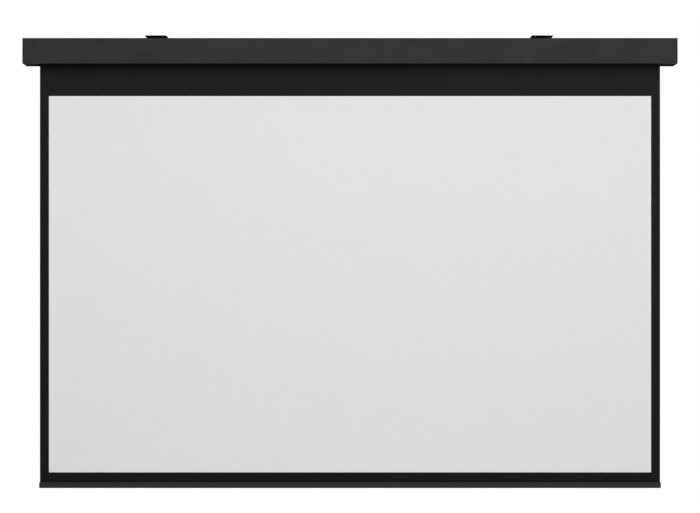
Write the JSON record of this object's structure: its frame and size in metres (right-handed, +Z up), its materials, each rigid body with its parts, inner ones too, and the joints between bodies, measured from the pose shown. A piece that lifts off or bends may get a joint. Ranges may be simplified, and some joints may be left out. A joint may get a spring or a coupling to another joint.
{
  "type": "motorized projection screen",
  "caption": "Square black case with a motor-driven roller, a white hanging viewing surface with black borders, a weight bar in its hem and hangers that slide along the top.",
  "frame": {"origin": "middle of the case's top face", "axes": "+X along the case to the viewer's right, +Y to the back, away from the viewer, +Z up"},
  "size_m": [2.15, 0.092, 1.4945],
  "materials": {
    "case_paint": "satin black powder coat on aluminium extrusion",
    "bar_paint": "satin black powder coat on aluminium extrusion",
    "hanger_paint": "black powder coat on pressed steel",
    "cap_plastic": "fine-grained black moulding",
    "zinc_steel": "bright zinc plate",
    "dark_zinc": "black zinc plate",
    "motor_steel": "drawn steel tube",
    "raw_aluminium": "mill finish",
    "motor_plastic": "moulded, satin",
    "nylon": "moulded nylon",
    "adjuster_white": "moulded",
    "adjuster_yellow": "moulded",
    "rubber": "moulded rubber",
    "black_fabric": "black coated screen cloth, matte",
    "white_coat": "matte white viewing surface"
  },
  "bodies": {
    "case": {"case_body": "case_paint", "end_cap_left": "cap_plastic", "end_cap_right": "cap_plastic", "end_screw_left_1": "dark_zinc", "end_screw_left_2": "dark_zinc", "end_screw_left_3": "dark_zinc", "end_screw_left_4": "dark_zinc", "end_screw_right_1": "dark_zinc", "end_screw_right_2": "dark_zinc", "end_screw_right_3": "dark_zinc", "end_screw_right_4": "dark_zinc", "bracket_screw_left_1": "zinc_steel", "bracket_screw_left_2": "zinc_steel", "bracket_screw_right_1": "zinc_steel", "bracket_screw_right_2": "zinc_steel", "motor_bracket": "zinc_steel", "idler_bracket": "zinc_steel", "idler_bush": "nylon", "motor_head": "motor_plastic", "motor_tube": "motor_steel", "motor_clip": "zinc_steel", "motor_lead": "rubber", "lead_connector": "nylon", "cable_grommet": "rubber", "screen_sheet": "black_fabric", "viewing_surface": "white_coat"},
    "roller": {"roller_tube": "raw_aluminium", "fabric_roll": "black_fabric", "fabric_spline": "nylon", "limit_crown": "nylon", "drive_wheel": "motor_plastic", "output_shaft": "zinc_steel", "idler_plug": "nylon", "idler_pin": "zinc_steel"},
    "bar": {"weight_bar": "bar_paint", "hem_rod": "nylon", "weight_rod": "zinc_steel", "bar_cap_left": "cap_plastic", "bar_cap_right": "cap_plastic"},
    "hanger_left": {"hanger_left": "hanger_paint", "hanger_bolt_left": "zinc_steel", "track_nut_left": "zinc_steel"},
    "hanger_right": {"hanger_right": "hanger_paint", "hanger_bolt_right": "zinc_steel", "track_nut_right": "zinc_steel"},
    "adjuster_up": {"limit_adjuster_up": "adjuster_white"},
    "adjuster_down": {"limit_adjuster_down": "adjuster_yellow"}
  },
  "joints": [
    {"name": "bar_lift", "type": "slide", "parent": "case", "child": "bar", "axis": [0, 0, 1], "range_m": [0, 1.3985], "deforming": ["screen_sheet", "viewing_surface"]},
    {"name": "roller_spin", "type": "hinge", "parent": "case", "child": "roller", "pos_m": [0, 0, -0.04009], "axis": [1, 0, 0], "range_deg": [0, 2960]},
    {"name": "hanger_left_slide", "type": "slide", "parent": "case", "child": "hanger_left", "axis": [1, 0, 0], "range_m": [-0.392, 0.578]},
    {"name": "hanger_right_slide", "type": "slide", "parent": "case", "child": "hanger_right", "axis": [1, 0, 0], "range_m": [-0.572, 0.398]},
    {"name": "limit_up_turn", "type": "hinge", "parent": "case", "child": "adjuster_up", "pos_m": [-1.0491, -0.009, -0.05509], "axis": [0, 0, 1], "range_deg": [-720, 720]},
    {"name": "limit_down_turn", "type": "hinge", "parent": "case", "child": "adjuster_down", "pos_m": [-1.0491, 0.009, -0.05509], "axis": [0, 0, 1], "range_deg": [-720, 720]}
  ],
  "couplings": [
    {"joint": "roller_spin", "follows": "bar_lift", "rad_per_m": 36.849}
  ]
}
